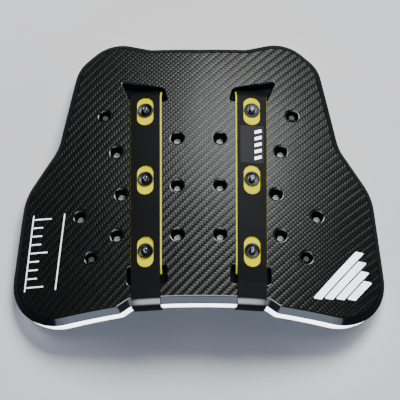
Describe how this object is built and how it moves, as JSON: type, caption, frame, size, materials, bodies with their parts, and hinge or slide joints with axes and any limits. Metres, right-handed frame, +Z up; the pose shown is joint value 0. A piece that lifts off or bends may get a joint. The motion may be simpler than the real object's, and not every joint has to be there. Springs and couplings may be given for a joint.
{
  "type": "hard chest protector with snap straps",
  "caption": "Arched, vented hard chest plate on a foam liner, with bevelled rim, windowed straps and press snap studs for fastening inside a riding jacket.",
  "frame": {"origin": "middle of the footprint, on the surface that the protector lies on, outer face up", "axes": "+X across the chest to the right of the picture, +Y towards the neck edge, +Z up and away from the body"},
  "size_m": [0.3212, 0.2562, 0.0662],
  "materials": {
    "shell": "glossy black carbon-look twill under clear coat",
    "liner": "matt white closed-cell foam",
    "strap": "satin black flexible strip",
    "backing": "satin yellow strip",
    "snap": "dark nickel plated brass with a bright head",
    "plug": "matt grey moulded plug"
  },
  "bodies": {
    "root": {"front_shell": "shell", "foam_liner": "liner", "strap_left": "strap", "strap_right": "strap", "strap_backing_left": "backing", "strap_backing_right": "backing", "snap_stud_left_top": "snap", "snap_stud_left_middle": "snap", "snap_stud_left_bottom": "snap", "snap_stud_right_top": "snap", "snap_stud_right_middle": "snap", "snap_stud_right_bottom": "snap", "liner_plug_left_shoulder": "plug", "liner_plug_left_corner": "plug", "liner_plug_right_shoulder": "plug", "liner_plug_right_corner": "plug"}
  },
  "joints": []
}
